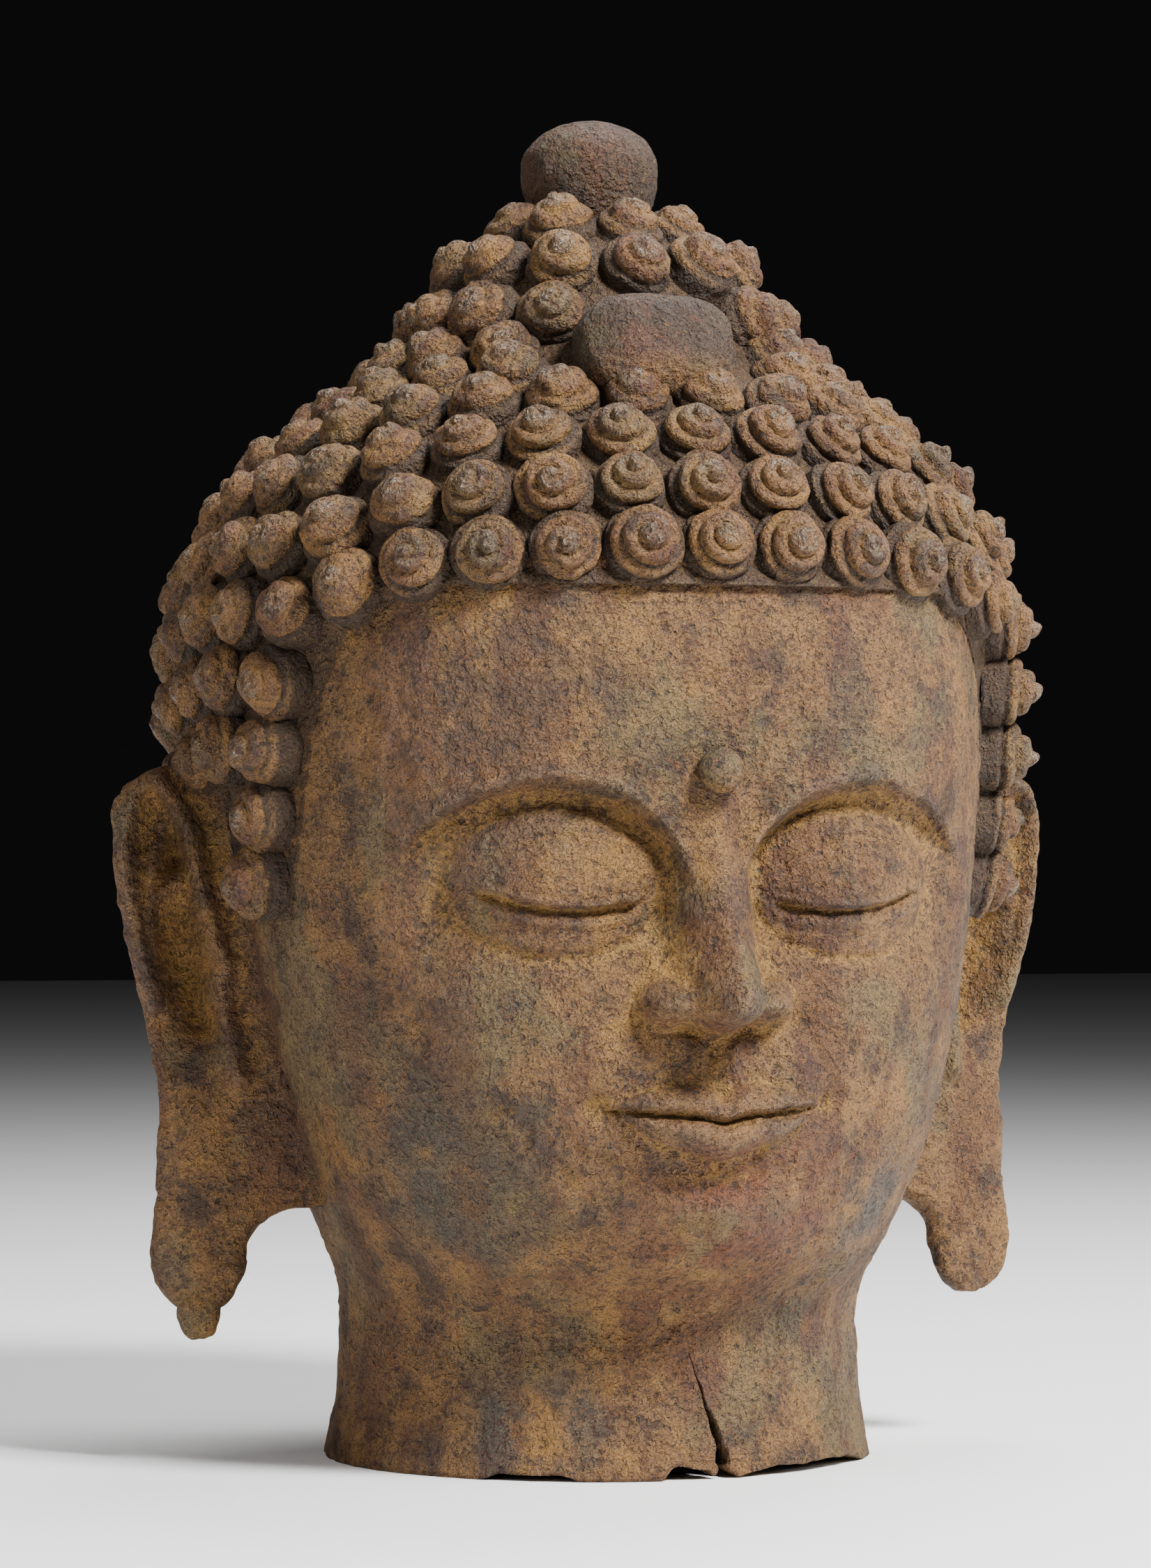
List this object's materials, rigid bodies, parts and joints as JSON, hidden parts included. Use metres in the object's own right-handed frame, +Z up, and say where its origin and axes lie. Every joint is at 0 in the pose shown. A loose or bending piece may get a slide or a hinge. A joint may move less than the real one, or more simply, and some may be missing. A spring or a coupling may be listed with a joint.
{
  "type": "cast iron buddha head",
  "caption": "Hollow cast iron head with rows of snail-shell curls, a crown knob, long flared ears and a broken neck it stands on.",
  "frame": {"origin": "on the ground, under the middle of the head's bounding box", "axes": "+Z up, the face looks along -Y, +X is on the right hand of someone who faces the statue"},
  "size_m": [0.4102, 0.3801, 0.56],
  "materials": {
    "rusted_iron": "rusted, matt, rough as cast"
  },
  "bodies": {
    "root": {"head": "rusted_iron"}
  },
  "joints": []
}
